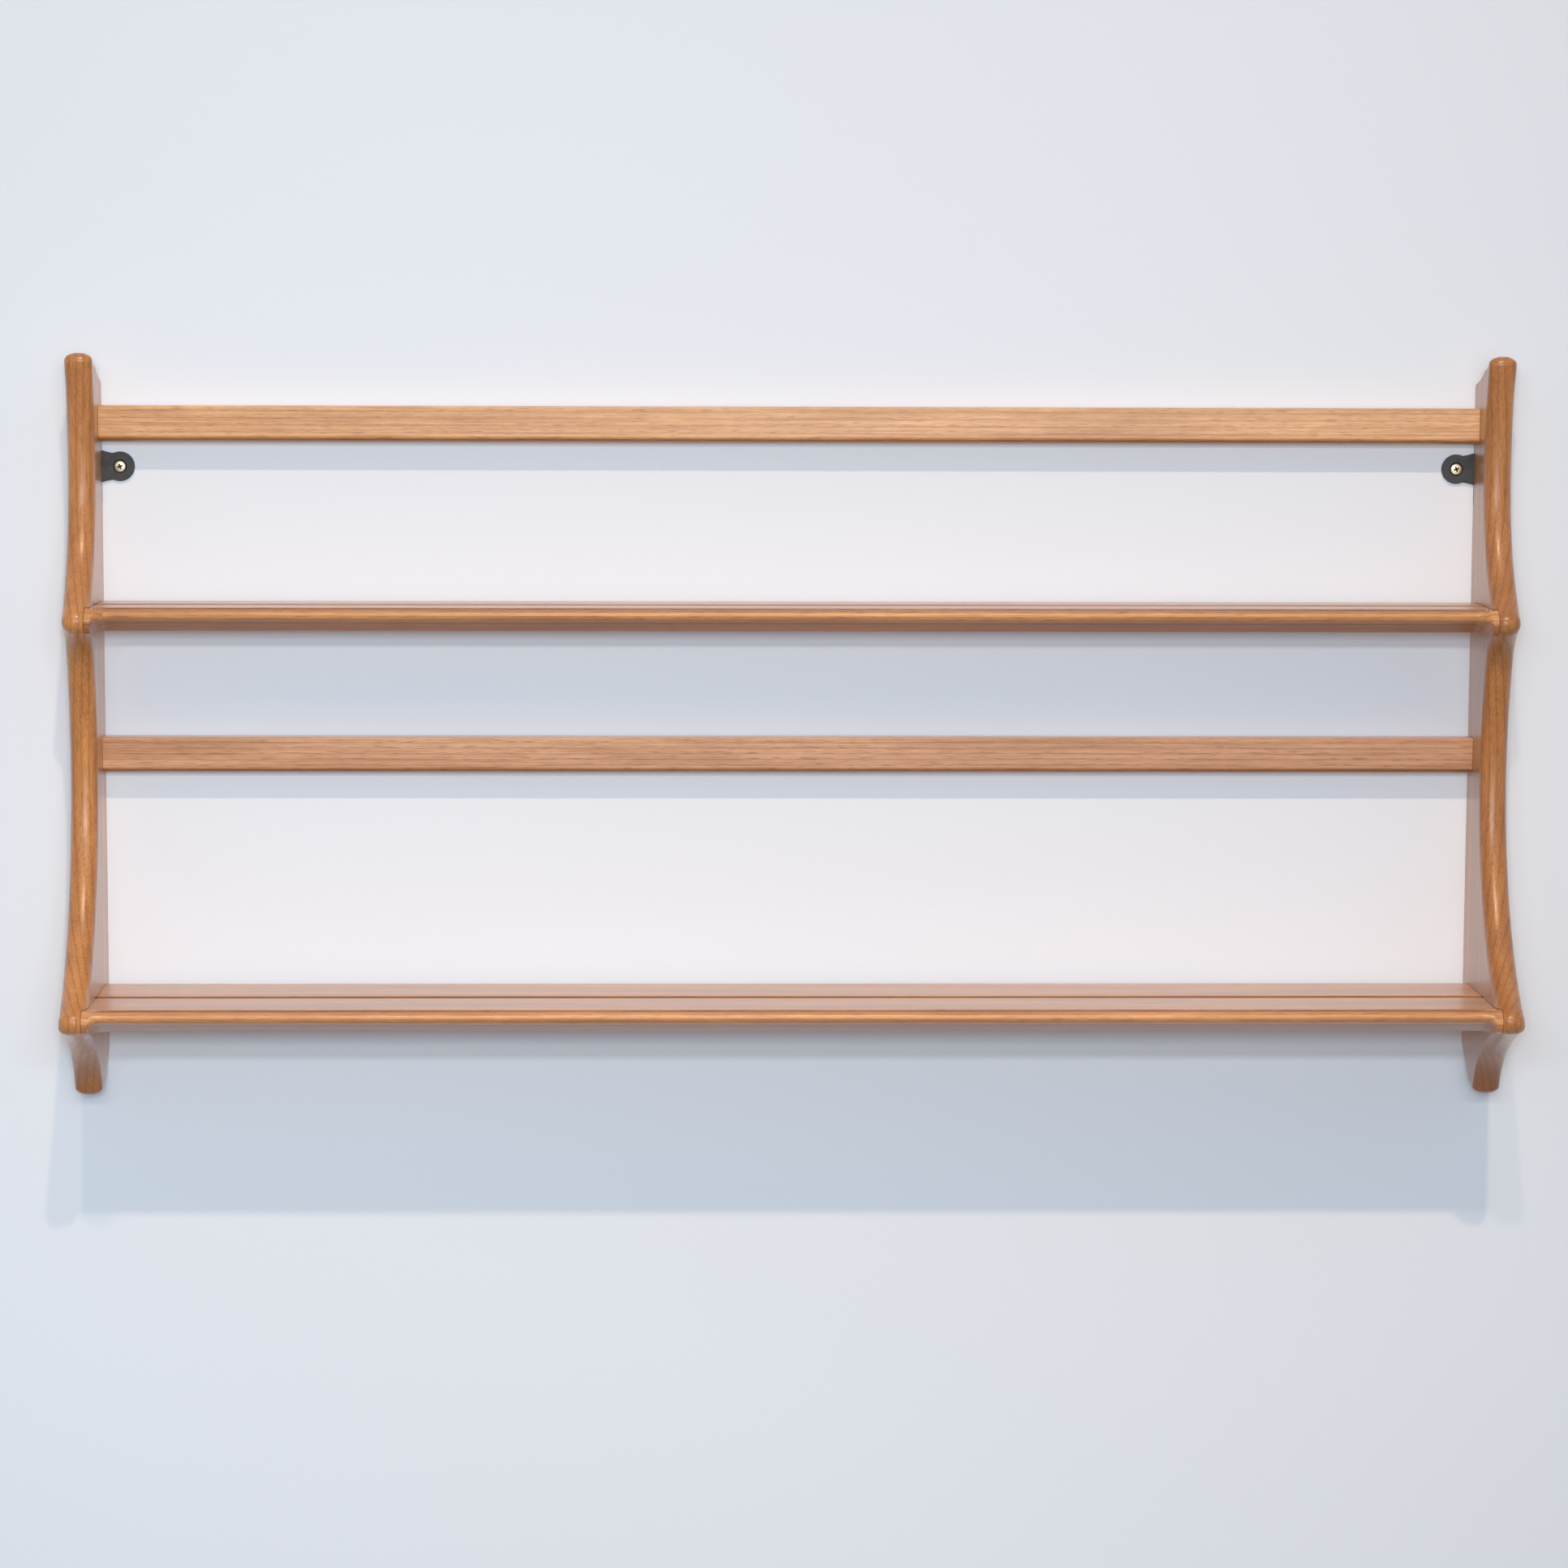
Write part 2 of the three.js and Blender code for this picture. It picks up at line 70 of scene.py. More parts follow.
# ---- End panels -----------------------------------------------------------------------------------
# Each end is one elm board, bandsawn to a double sweep with a brow at each shelf. Its front edge is
# rounded over from both faces almost to a half round, and every other edge is only eased. Pockets
# hold the shelf ends and the hanging plate, and bores hold the dowels.
MM = 0.001                            # everything on the rack is drawn in mm
INNER_FACE = 466.5                    # a panel's inner face, from the middle of the rack
BOARD = 18.5                          # a panel's thickness
HOUSING = 3.5                         # how far a shelf is let into a panel
SEAM = 0.3                            # room for the glue
OVERSHOOT = 1                         # every cutter starts this far outside the wood
RAIL_LINE = 41.7                      # heights are drawn from the top of the upper rail

SHELF = 16.5
SHELF_BACK = 17                       # a shelf ends this far short of the wall
UPPER_TOP, LOWER_TOP = -131.6, -393.8
RAIL, RAIL_DEPTH = 24, 15
UPPER_RAIL_TOP, UPPER_RAIL_FRONT = 0, 21.5
LOWER_RAIL_TOP, LOWER_RAIL_FRONT = -224.2, 20.5

SHELF_DOWEL, SHELF_DOWEL_DROP = 4, 9  # a dowel's radius, and how far below a shelf's top it lies
RAIL_DOWEL, RAIL_DOWEL_RISE = 3, 6    # and how far above and below a rail's middle
UPPER_DOWELS, LOWER_DOWELS = (28, 63), (32, 60, 105)
shelf_bores = [(depth, top - SHELF_DOWEL_DROP) for top, depths in
               ((UPPER_TOP, UPPER_DOWELS), (LOWER_TOP, LOWER_DOWELS)) for depth in depths]
rail_bores = [(rail_front - RAIL_DEPTH / 2, rail_top - RAIL / 2 + rise) for rail_top, rail_front in
              ((UPPER_RAIL_TOP, UPPER_RAIL_FRONT), (LOWER_RAIL_TOP, LOWER_RAIL_FRONT))
              for rise in (RAIL_DOWEL_RISE, -RAIL_DOWEL_RISE)]

PLATE = 2                             # the steel that the rack hangs on
PLATE_WIDTH, PLATE_HALF_HEIGHT = 14.7, 25
PLATE_SCREW_IN, PLATE_SCREW_RISE = 8.35, 15
PLATE_SCREW = 1.75                    # its shank's radius


def rack_point(x, depth, height):
    """A point of the rack from mm across, mm out from the wall, and a height on the drawing."""
    return Vector((x, -depth, height + RAIL_LINE)) * MM


def sweep(a, b, c, d, steps):
    """Points of a curve from a to d that leaves towards b and arrives from c, without its first."""
    knots = [Vector((p[0], p[1], 0)) for p in (a, b, c, d)]
    return [(p.x, p.y) for p in interpolate_bezier(*knots, steps + 1)[1:]]


def arc_point(tip, angle, lead=0):
    """The point of a horn or brow at an angle, moved onwards along its tangent by lead."""
    (depth, height), radius = tip[:2]
    across, rise = math.cos(math.radians(angle)), math.sin(math.radians(angle))
    return (depth + radius * across + lead * rise, height + radius * rise - lead * across)


def tip_arc(tip, steps):
    """The points of a horn's or brow's arc, without its first."""
    start, end = tip[2:]
    return [arc_point(tip, start + (end - start) * i / steps) for i in range(1, steps + 1)]


def tip_start(tip, lead=0):
    return arc_point(tip, tip[2], lead)


def tip_end(tip, lead=0):
    return arc_point(tip, tip[3], lead)


# Each horn and brow: its centre, its radius, and the angles that it starts and ends at.
TOP_HORN = ((50.4, 30.4), 5.5, 143, -11)
UPPER_BROW = ((84.8, -140.6), 9, 49, -60)
LOWER_BROW = ((131.6, -401.8), 8.6, 59, -75)
BOTTOM_HORN = ((45, -460), 5.2, -21, -131.8)

front = [(2.5, 16)]
front += sweep(front[0], (20, 18.5), tip_start(TOP_HORN, -10), tip_start(TOP_HORN), 20)
horn_starts = len(front) - 1
front += tip_arc(TOP_HORN, 16)
horn_ends = len(front) - 1
front += sweep(front[-1], tip_end(TOP_HORN, 20), (47, -15), (47, -42), 14)
front += sweep((47, -42), (47, -80), tip_start(UPPER_BROW, -37), tip_start(UPPER_BROW), 22)
front += tip_arc(UPPER_BROW, 18)
front += sweep(front[-1], tip_end(UPPER_BROW, 10), (72, -158.5), (68.3, -170), 12)
front += sweep((68.3, -170), (63.2, -186), (54.2, -214), (54.2, -245), 14)
front += sweep((54.2, -245), (54.2, -300), tip_start(LOWER_BROW, -62), tip_start(LOWER_BROW), 28)
brow_starts = len(front) - 1
front += tip_arc(LOWER_BROW, 22)
brow_ends = len(front) - 1
front += sweep(front[-1], tip_end(LOWER_BROW, 24), (60.5, -434.5), tip_start(BOTTOM_HORN), 22)
front += tip_arc(BOTTOM_HORN, 14)
tail_turns = len(front) - 1
front += sweep(front[-1], tip_end(BOTTOM_HORN, 10), (16, -446.5), (3, -437.5), 20)
back = [(0, -433), (0, 13.5)]

run = [0]
for a, b in zip(front, front[1:]):
    run.append(run[-1] + math.dist(a, b))


def ease(share):
    """A share from 0 to 1 that leaves and arrives softly."""
    share = min(1, max(0, share))
    return share * share * (3 - 2 * share)


EDGE_RADIUS = 8.5                     # the full rounding, from both faces
HORN_SHARE, TAIL_SHARE = 0.6, 0.55    # shares of it over the top horn and along the tail
FADE = 14                             # it runs out within this length behind each horn,
SWELL = 24                            # is full this far below the top horn,
THINS_FROM = 0.45                     # and thins again from this share of the lower brow's arc


def rounding(i):
    """Share of the full rounding at a point of the front edge."""
    if i < horn_ends:
        return HORN_SHARE * ease((run[i] - run[horn_starts] + FADE) / FADE)
    if i >= brow_ends:
        return TAIL_SHARE * ease((run[tail_turns] + FADE - run[i]) / FADE)
    if i > brow_starts:
        passed = (i - brow_starts) / (brow_ends - brow_starts)
        return 1 - (1 - TAIL_SHARE) * ease((passed - THINS_FROM) / (1 - THINS_FROM))
    return HORN_SHARE + (1 - HORN_SHARE) * ease((run[i] - run[horn_ends]) / SWELL)


outward = []
for i in range(len(front)):
    (d0, h0), (d1, h1) = front[max(i - 1, 0)], front[min(i + 1, len(front) - 1)]
    apart = math.dist((d0, h0), (d1, h1))
    outward.append(((h0 - h1) / apart, (d1 - d0) / apart))


def front_line(inside):
    """The front edge's line at a distance in from a panel's face."""
    drop = EDGE_RADIUS - math.sqrt(EDGE_RADIUS ** 2 - max(EDGE_RADIUS - inside, 0) ** 2)
    return [(p[0] - n[0] * drop * rounding(i), p[1] - n[1] * drop * rounding(i))
            for i, (p, n) in enumerate(zip(front, outward))]


def add_piece(bm, name):
    """Puts a finished bmesh into the scene as a piece."""
    mesh = bpy.data.meshes.new(name)
    bm.to_mesh(mesh)
    bm.free()
    piece = bpy.data.objects.new(name, mesh)
    scene.collection.objects.link(piece)
    return piece


def settle(piece):
    """Makes what a piece's modifiers give its own mesh."""
    bpy.context.view_layer.update()
    drawn = piece.data
    made = bpy.data.meshes.new_from_object(piece.evaluated_get(bpy.context.evaluated_depsgraph_get()))
    piece.modifiers.clear()
    piece.data = made
    bpy.data.meshes.remove(drawn)
    made.name = piece.name


def cut_out(piece, cutters):
    """Takes each cutter's volume out of a piece, as a router, a chisel or a drill does."""
    for bm in cutters:
        cutter = add_piece(bm, "cutter")
        cut = piece.modifiers.new("cut", "BOOLEAN")
        cut.operation = "DIFFERENCE"
        cut.solver = "MANIFOLD"
        cut.object = cutter
        settle(piece)
        bpy.data.meshes.remove(cutter.data)


def block(one, other):
    """A block between two opposite corners."""
    bm = bmesh.new()
    bmesh.ops.create_cube(bm, size=1)
    bmesh.ops.scale(bm, vec=[abs(a - b) for a, b in zip(one, other)], verts=bm.verts)
    bmesh.ops.translate(bm, vec=(one + other) / 2, verts=bm.verts)
    return bm


def bore(start, end, start_radius, end_radius=None, sides=32):
    """A round or tapered bore from one point to another."""
    if end_radius is None:
        end_radius = start_radius
    bm = bmesh.new()
    along = end - start
    bmesh.ops.create_cone(bm, cap_ends=True, segments=sides, radius1=start_radius * MM,
                          radius2=end_radius * MM, depth=along.length)
    bmesh.ops.rotate(bm, matrix=along.to_track_quat("Z", "Y").to_matrix(), verts=bm.verts)
    bmesh.ops.translate(bm, vec=(start + end) / 2, verts=bm.verts)
    return bm


def shade(piece, angle=30):
    """Shades a piece smooth, with crisp arrises where it turns sharply."""
    bm = bmesh.new()
    bm.from_mesh(piece.data)
    bmesh.ops.remove_doubles(bm, verts=bm.verts, dist=0.002 * MM)
    bm.to_mesh(piece.data)
    bm.free()
    piece.data.shade_smooth()
    piece.data.set_sharp_from_angle(angle=math.radians(angle))
    flat = piece.modifiers.new("flat faces stay flat", "WEIGHTED_NORMAL")
    flat.keep_sharp = True
    flat.weight = 100


def draw_along(bm, sections):
    """Draws a closed section along a board: sections are lists of points, one after another."""
    place = bm.verts.layers.int.new("place")
    ring = [bm.verts.new(p) for p in sections[0]]
    for i, corner in enumerate(ring):
        corner[place] = i
    end = bm.faces.new(ring)
    for section in sections[1:]:
        grown = bmesh.ops.extrude_face_region(bm, geom=[end, *end.edges, *end.verts])["geom"]
        end = next(part for part in grown if isinstance(part, bmesh.types.BMFace))
        for corner in end.verts:
            corner.co = section[corner[place]]
    bmesh.ops.recalc_face_normals(bm, faces=bm.faces)


ROUND_STEPS = 9                       # facets of each quarter of the rounded edge
ARRIS = 0.4


def end_panel(name, side):
    turns = [math.radians(90 * i / ROUND_STEPS) for i in range(ROUND_STEPS + 1)]
    insides = [EDGE_RADIUS * (1 - math.sin(turn)) for turn in turns]
    stations = [(x, x) for x in reversed(insides)] + [(BOARD - x, x) for x in insides]
    bm = bmesh.new()
    draw_along(bm, [[rack_point(side * (INNER_FACE + across), *p) for p in front_line(inside) + back]
                    for across, inside in stations])
    panel = add_piece(bm, name)
    arris = panel.modifiers.new("arris", "BEVEL")
    arris.limit_method = "ANGLE"
    arris.angle_limit = math.radians(50)
    arris.width = ARRIS * MM
    arris.segments = 2
    arris.profile = 0.5
    settle(panel)
    return panel


PAST_THE_FRONT = 170                  # the housings are open at the front
SHELF_DOWEL_HOLE, RAIL_DOWEL_HOLE, PLATE_SCREW_HOLE = 9.3, 10.8, 19     # depths


def panel_pockets(side):
    """Housings for the shelves, a rebate for the plate, and bores for the dowels and the plate's screws."""
    inner = side * (INNER_FACE - OVERSHOOT)
    pockets = []
    for top in (UPPER_TOP, LOWER_TOP):
        root = side * (INNER_FACE + HOUSING)
        pockets.append(block(rack_point(inner, PAST_THE_FRONT, top + SEAM),
                             rack_point(root, SHELF_BACK - SEAM, top - SHELF - SEAM)))
    rebate, half_height = side * (INNER_FACE + PLATE_WIDTH + SEAM), PLATE_HALF_HEIGHT + SEAM
    pockets.append(block(rack_point(inner, PLATE + SEAM, half_height - RAIL_LINE),
                         rack_point(rebate, -OVERSHOOT, -half_height - RAIL_LINE)))
    for places, root, depth, dowel in ((shelf_bores, INNER_FACE + HOUSING, SHELF_DOWEL_HOLE, SHELF_DOWEL),
                                       (rail_bores, INNER_FACE, RAIL_DOWEL_HOLE, RAIL_DOWEL)):
        for place in places:
            pockets.append(bore(rack_point(side * (root - OVERSHOOT), *place),
                                rack_point(side * (root + depth), *place), dowel + SEAM))
    x = side * (INNER_FACE + PLATE_SCREW_IN)
    for rise in (PLATE_SCREW_RISE, -PLATE_SCREW_RISE):
        pockets.append(bore(rack_point(x, -OVERSHOOT, rise - RAIL_LINE),
                            rack_point(x, PLATE_SCREW_HOLE, rise - RAIL_LINE), PLATE_SCREW + SEAM))
    return pockets


def add_node(material, kind, **settings):
    """Adds a shader node to a material, with its settings."""
    node = material.node_tree.nodes.new(kind)
    for name, value in settings.items():
        setattr(node, name, value)
    return node


def join(material, source, target):
    material.node_tree.links.new(source, target)


def fixed(node, **values):
    """Sets a node's inputs to values that are the same everywhere."""
    for name, value in values.items():
        node.inputs[name.replace("_", " ")].default_value = value


def ramp(material, source, stops):
    """Turns a value into the greys or colours of its stops."""
    node = add_node(material, "ShaderNodeValToRGB")
    steps = node.color_ramp.elements
    while len(steps) < len(stops):
        steps.new(0.5)
    for step, (position, colour) in zip(steps, stops):
        step.position = position
        step.color = (*colour, 1) if isinstance(colour, tuple) else (colour, colour, colour, 1)
    join(material, source, node.inputs[0])
    return node.outputs[0]


def blend(material, mode, amount, base, over):
    """Mixes one colour over another by an amount."""
    node = add_node(material, "ShaderNodeMix", data_type="RGBA", blend_type=mode)
    for value, socket in ((amount, node.inputs[0]), (base, node.inputs[6]), (over, node.inputs[7])):
        if isinstance(value, bpy.types.NodeSocket):
            join(material, value, socket)
        else:
            socket.default_value = value if isinstance(value, float) else (*value, 1)
    return node.outputs[2]


def axes_of(material):
    """The place on a piece as X, Y and Z."""
    axes = add_node(material, "ShaderNodeSeparateXYZ")
    join(material, add_node(material, "ShaderNodeTexCoord").outputs["Object"], axes.inputs[0])
    return axes.outputs


def between(material, value, none, full):
    """A share that grows from 0 where a value is none to 1 where it is full."""
    node = add_node(material, "ShaderNodeMapRange")
    fixed(node, From_Min=none, From_Max=full)
    join(material, value, node.inputs["Value"])
    return node.outputs["Result"]


RING_SCALE = 314                      # the wave's scale for rings 1 mm wide


def elm(name, grain, heart, rings, light, dark=0.8, pores=0.46, figure=3.0):
    """Lacquered elm with its grain along one axis.

    heart is the point of the board's tree that its growth rings turn round, rings is the width of a
    ring in mm, light is its summer wood, and dark and pores say how much darker its spring wood and
    its pores are. figure says how far the rings waver.
    """
    material = bpy.data.materials.new(name)
    material.use_nodes = True
    board = material.node_tree.nodes["Principled BSDF"]
    place = add_node(material, "ShaderNodeTexCoord").outputs["Object"]
    axis = "XYZ".index(grain)

    def stretched(along, across, shift):
        node = add_node(material, "ShaderNodeMapping")
        node.inputs["Scale"].default_value = [along if i == axis else across for i in range(3)]
        node.inputs["Location"].default_value = shift
        join(material, place, node.inputs[0])
        return node.outputs[0]

    def noise(vector, detail, roughness=0.5):
        node = add_node(material, "ShaderNodeTexNoise")
        fixed(node, Scale=1.0, Detail=detail, Roughness=roughness)
        join(material, vector, node.inputs["Vector"])
        return node.outputs["Fac"]

    tree = add_node(material, "ShaderNodeMapping")
    tree.inputs["Location"].default_value = [0 if i == axis else -c * MM for i, c in enumerate(heart)]
    tree.inputs["Scale"].default_value = [0.05 if i == axis else 1 for i in range(3)]
    join(material, place, tree.inputs[0])
    growth = add_node(material, "ShaderNodeTexWave", wave_type="RINGS", rings_direction=grain,
                      wave_profile="SAW")
    fixed(growth, Scale=RING_SCALE / rings, Distortion=figure, Detail=3.0, Detail_Scale=0.06 * rings,
          Detail_Roughness=0.55)
    join(material, tree.outputs[0], growth.inputs["Vector"])

    drift = noise(stretched(5, 60, (3.1, 1.7, 5.3)), 3.0)
    mottle = noise(stretched(60, 260, (1.3, 4.1, 2.6)), 3.0, 0.6)
    fibre = noise(stretched(14, 1000, (0.4, 2.2, 0.9)), 4.0, 0.65)
    fleck = noise(stretched(90, 1700, (7.7, 0.6, 1.9)), 1.0)

    shadow = tuple(c * (dark ** k) for c, k in zip(light, (1.0, 1.35, 1.9)))
    wood = ramp(material, growth.outputs["Fac"],
                [(0.0, shadow), (0.12, light), (0.7, light), (1.0, shadow)])
    for variation, stops in (
            (drift, [(0.32, (0.82, 0.75, 0.66)), (0.68, (1.12, 1.15, 1.18))]),
            (mottle, [(0.3, (0.93, 0.88, 0.8)), (0.7, (1.05, 1.06, 1.1))]),
            (fibre, [(0.3, (0.76, 0.68, 0.58)), (0.5, (1.0, 1.0, 1.0)), (0.7, (1.14, 1.15, 1.16))])):
        wood = blend(material, "MULTIPLY", 1.0, wood, ramp(material, variation, stops))
    early = ramp(material, growth.outputs["Fac"],
                 [(0.0, 1.0), (0.25, 0.8), (0.5, 0.45), (0.8, 0.5), (1.0, 1.0)])
    open_pores = blend(material, "MULTIPLY", 1.0, early, ramp(material, fleck, [(0.55, 0.0), (0.68, 0.9)]))
    pore = tuple(pores * c * k for c, k in zip(light, (1.0, 0.8, 0.6)))
    wood = blend(material, "MIX", open_pores, wood, pore)
    join(material, wood, board.inputs["Base Color"])

    join(material, ramp(material, fibre, [(0.3, 0.5), (0.7, 0.38)]), board.inputs["Roughness"])
    bump = add_node(material, "ShaderNodeBump", invert=True)
    fixed(bump, Strength=0.15, Distance=0.0002)
    join(material, open_pores, bump.inputs["Height"])
    join(material, bump.outputs[0], board.inputs["Normal"])
    fixed(board, IOR=1.5, Coat_Weight=1.0, Coat_Roughness=0.28, Coat_IOR=1.45)
    board.inputs["Specular IOR Level"].default_value = 0.3
    return material


def darken(wood, share, tint):
    """Darkens a board's colour by a tint, as far as share says."""
    colour = wood.node_tree.nodes["Principled BSDF"].inputs["Base Color"]
    join(wood, blend(wood, "MULTIPLY", share, colour.links[0].from_socket, tint), colour)


def lower_than(wood, high, low):
    """A share that grows from 0 at one height to 1 at a lower one."""
    return between(wood, axes_of(wood)["Z"], (high + RAIL_LINE) * MM, (low + RAIL_LINE) * MM)


def coat(piece, material):
    """Gives the whole piece one material."""
    piece.data.materials.clear()
    piece.data.materials.append(material)


BELOW_THE_BROW, AT_THE_FOOT = -412, -446    # a panel's colour is darkened between these heights, as painted shade on the foot below the lower brow
for hand, side, light in (("left", -1, (0.52, 0.21, 0.052)), ("right", 1, (0.42, 0.16, 0.033))):
    panel = end_panel(f"{hand}_panel", side)
    cut_out(panel, panel_pockets(side))
    shade(panel)
    wood = elm(f"{hand} panel elm", "Z", (120, 90, 0), 5, light, 0.76, figure=4.0)
    # Painted shade: the wood darkens towards the foot, where the lower brow shades it.
    darken(wood, lower_than(wood, BELOW_THE_BROW, AT_THE_FOOT), (0.74, 0.62, 0.46))
    coat(panel, wood)
    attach(panel, "root")
    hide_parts(f"{hand}_end_panel")

# ---- Hanging plates -------------------------------------------------------------------------------
# A pressed steel plate is let into the back of each panel. Its round tab reaches past the panel's
# inner face and is countersunk for the wall screw. Sprayed black, worn grey in specks, with its edges
# eased.
TAB, TAB_NECK = 10, 9.1               # the tab's radius, and its half height where the neck meets it
TAB_REACH = 12.2                      # from the wall screw to the panel's inner face
SCREW_X = INNER_FACE - TAB_REACH
WALL_HOLE, PLATE_HOLE = (4.95, 2.35), (4.25, 1.65)    # radii of the countersinks, at the face and through
PAST_THE_PLATE = 0.3                  # the cutters reach this far out of the steel
PLATE_EASING = 0.35


def steel(name, colour, worn, metallic, roughness, shade_depth=None):
    """Coated steel, worn bright in specks. Nearer the wall than the depth that the last argument gives, it
    is painted near black, as painted shade in a recess.
    """
    material = bpy.data.materials.new(name)
    material.use_nodes = True
    surface = material.node_tree.nodes["Principled BSDF"]
    place = add_node(material, "ShaderNodeTexCoord").outputs["Object"]
    speckle = add_node(material, "ShaderNodeTexNoise")
    fixed(speckle, Scale=1800.0, Detail=3.0, Roughness=0.6)
    cloud = add_node(material, "ShaderNodeTexNoise")
    fixed(cloud, Scale=220.0, Detail=2.0)
    for texture in (speckle, cloud):
        join(material, place, texture.inputs["Vector"])
    grain = ramp(material, speckle.outputs["Fac"], [(0.35, colour), (0.62, colour), (0.78, worn)])
    tarnish = ramp(material, cloud.outputs["Fac"], [(0.3, 0.75), (0.7, 1.15)])
    finish = blend(material, "MULTIPLY", 1.0, grain, tarnish)
    # Painted shade: deeper than the given depth the colour turns near black.
    if shade_depth is not None:
        deep = between(material, axes_of(material)["Y"], (-shade_depth - 0.15) * MM, (-shade_depth + 0.15) * MM)
        finish = blend(material, "MIX", deep, finish, (0.02, 0.016, 0.012))
    join(material, finish, surface.inputs["Base Color"])
    polish = ramp(material, cloud.outputs["Fac"], [(0.3, roughness - 0.08), (0.7, roughness + 0.1)])
    join(material, polish, surface.inputs["Roughness"])
    bump = add_node(material, "ShaderNodeBump")
    fixed(bump, Strength=0.25, Distance=0.00008)
    join(material, speckle.outputs["Fac"], bump.inputs["Height"])
    join(material, bump.outputs[0], surface.inputs["Normal"])
    surface.inputs["Metallic"].default_value = metallic
    return material


def hanging_plate(name, side):
    start = math.asin(TAB_NECK / TAB)
    angles = [start + (math.tau - 2 * start) * i / 40 for i in range(41)]
    disc = [(TAB * math.cos(a), TAB * math.sin(a)) for a in angles]
    neck = sweep(disc[-1], (6.3, -TAB_NECK), (8.9, -9.9), (TAB_REACH, -10.8), 8)
    far = TAB_REACH + PLATE_WIDTH
    outline = disc + neck + [(TAB_REACH, -PLATE_HALF_HEIGHT), (far, -PLATE_HALF_HEIGHT),
                             (far, PLATE_HALF_HEIGHT), (TAB_REACH, PLATE_HALF_HEIGHT)]
    outline += [(x, -z) for x, z in reversed(neck)]
    bm = bmesh.new()
    ring = [bm.verts.new(rack_point(side * (SCREW_X + x), 0, z - RAIL_LINE)) for x, z in outline]
    grown = bmesh.ops.extrude_face_region(bm, geom=[bm.faces.new(ring)])["geom"]
    bmesh.ops.translate(bm, vec=(0, -PLATE * MM, 0),
                        verts=[v for v in grown if isinstance(v, bmesh.types.BMVert)])
    bmesh.ops.recalc_face_normals(bm, faces=bm.faces)
    rims = [e for e in bm.edges if abs(e.verts[0].co.y - e.verts[1].co.y) < 1e-6]
    bmesh.ops.bevel(bm, geom=rims, offset=PLATE_EASING * MM, offset_type="OFFSET", affect="EDGES",
                    segments=3, profile=0.5, material=-1)
    plate = add_piece(bm, name)
    front, back = PLATE + PAST_THE_PLATE, -PAST_THE_PLATE
    x = side * SCREW_X
    holes = [bore(rack_point(x, front, -RAIL_LINE), rack_point(x, back, -RAIL_LINE), *WALL_HOLE, sides=48)]
    x = side * (INNER_FACE + PLATE_SCREW_IN)
    for rise in (PLATE_SCREW_RISE, -PLATE_SCREW_RISE):
        holes.append(bore(rack_point(x, back, rise - RAIL_LINE), rack_point(x, front, rise - RAIL_LINE),
                          *PLATE_HOLE, sides=48))
    cut_out(plate, holes)
    shade(plate)
    return plate


black_steel = steel("black steel", (0.018, 0.018, 0.02), (0.12, 0.12, 0.125), 0.0, 0.42)
for hand, side in (("left", -1), ("right", 1)):
    plate = hanging_plate(f"{hand}_tab_plate", side)
    coat(plate, black_steel)
    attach(plate, "root")
    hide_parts(f"{hand}_hanging_plate")

# ---- Plate screws and wall screws -----------------------------------------------------------------
# Two small countersunk screws hold each plate to the panel's back, and one longer screw through each
# tab holds the rack to the wall. They are zinc plated and passivated yellow, with a cross recess.
HEAD_EDGE = 0.25                      # height of a head's rim, above the countersink
BARE = 0.28                           # share of a screw's length that has no thread
CORE = 0.8                            # the threaded part's core, as a share of the shank
POINT = 2.2                           # a point's length, in radii of the shank
CROSS_FOOT, CROSS_MOUTH, CROSS_DEEP = 0.42, 0.69, 0.75    # the recess, as shares of the head's radius
THREAD_STEPS = 20                     # of each turn


